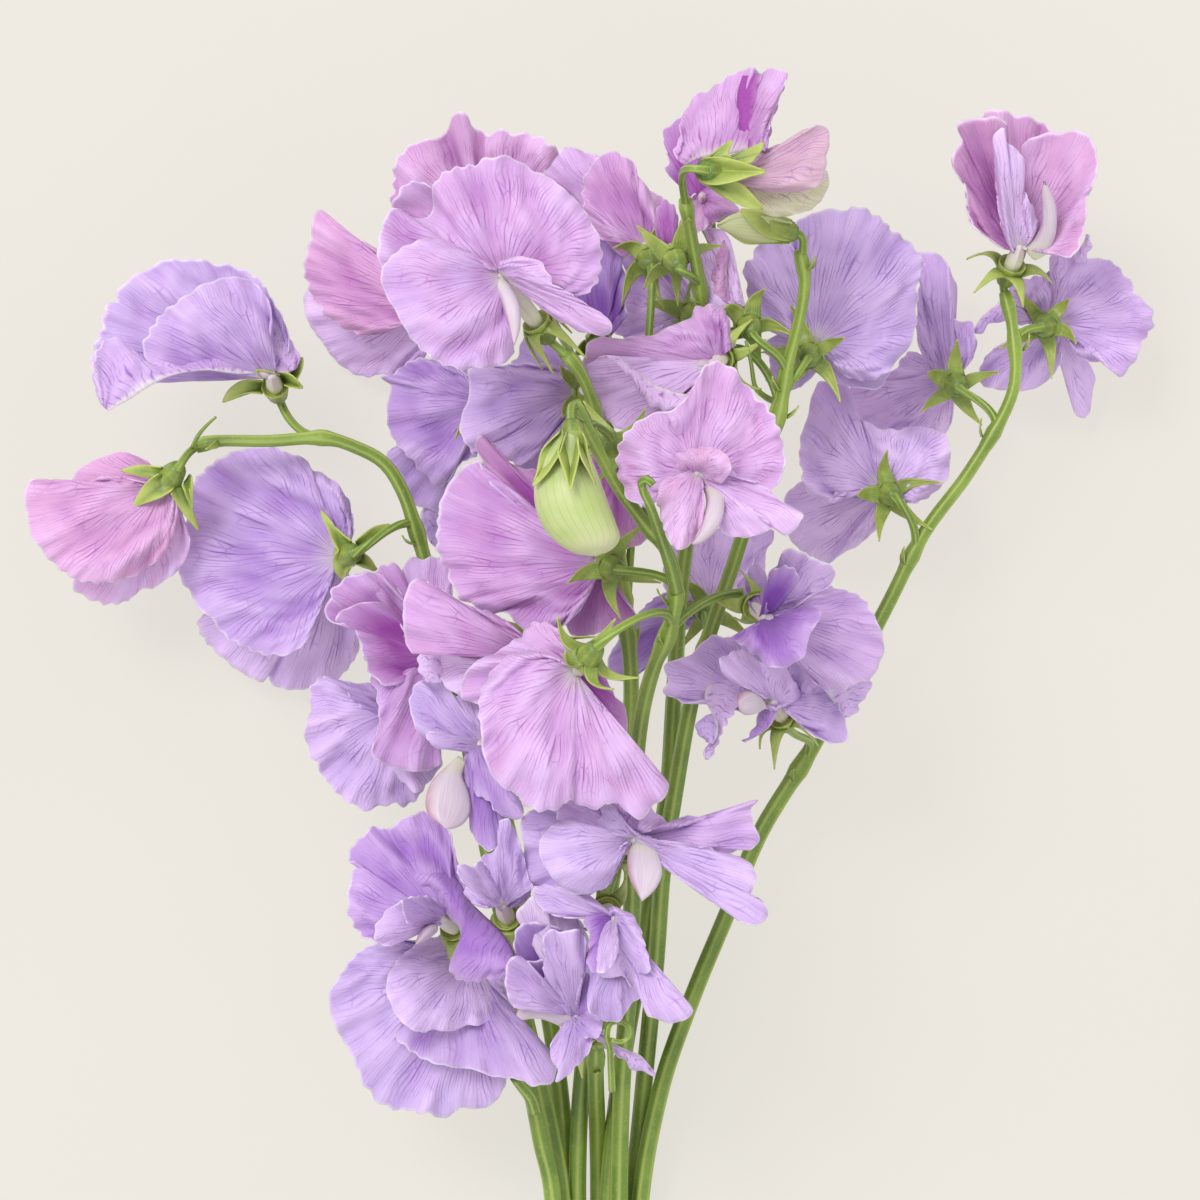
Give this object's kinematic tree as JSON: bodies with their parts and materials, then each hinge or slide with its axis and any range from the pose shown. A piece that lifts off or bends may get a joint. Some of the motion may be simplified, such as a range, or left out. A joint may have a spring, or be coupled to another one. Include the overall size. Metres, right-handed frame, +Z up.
{
  "type": "sweet pea bouquet",
  "caption": "Loose bunch of cut sweet peas in lilac and mauve, with ruffled open blooms and pale green buds on long green stems, lying flat as it would on a table.",
  "frame": {"origin": "on the table under the middle of the bunch's box, as it lies", "axes": "+Y from the cut ends towards the flowers, +X to the right seen from above, +Z up from the table"},
  "size_m": [0.2415, 0.3003, 0.1262],
  "materials": {
    "green": "fresh green stem, satin, finely ridged",
    "lilac_petal": "soft matt petal, veined, slightly see-through",
    "rose_petal": "soft matt petal, pinker, veined, slightly see-through",
    "bud_green": "smooth matt bud, pale green"
  },
  "bodies": {
    "root": {"stem_right": "green", "bloom_right_1": "rose_petal", "bloom_right_2": "lilac_petal", "bloom_right_3": "lilac_petal", "bloom_right_4": "lilac_petal", "bloom_right_5": "lilac_petal", "stem_centre": "green", "bloom_centre_1": "bud_green", "bloom_centre_2": "rose_petal", "bloom_centre_3": "rose_petal", "bloom_centre_4": "rose_petal", "bloom_centre_5": "rose_petal", "bloom_centre_6": "lilac_petal", "stem_tall": "green", "bloom_tall_1": "bud_green", "bloom_tall_2": "rose_petal", "bloom_tall_3": "lilac_petal", "bloom_tall_4": "lilac_petal", "bloom_tall_5": "rose_petal", "stem_top": "green", "bloom_top_1": "rose_petal", "bloom_top_2": "rose_petal", "bloom_top_3": "rose_petal", "bloom_top_4": "lilac_petal", "stem_front": "green", "bloom_front_1": "rose_petal", "bloom_front_2": "rose_petal", "bloom_front_3": "rose_petal", "bloom_front_4": "lilac_petal", "bloom_front_5": "lilac_petal", "stem_left": "green", "bloom_left_1": "lilac_petal", "bloom_left_2": "rose_petal", "bloom_left_3": "lilac_petal", "stem_inner": "green", "bloom_inner_1": "rose_petal", "bloom_inner_2": "lilac_petal", "bloom_inner_3": "lilac_petal", "bloom_inner_4": "lilac_petal", "bloom_inner_5": "rose_petal", "bloom_inner_6": "rose_petal", "stem_low_left": "green", "bloom_low_left_1": "lilac_petal", "bloom_low_left_2": "lilac_petal", "bloom_low_left_3": "lilac_petal", "stem_low": "green", "bloom_low_1": "lilac_petal", "bloom_low_2": "lilac_petal", "bloom_low_3": "lilac_petal"}
  },
  "joints": []
}
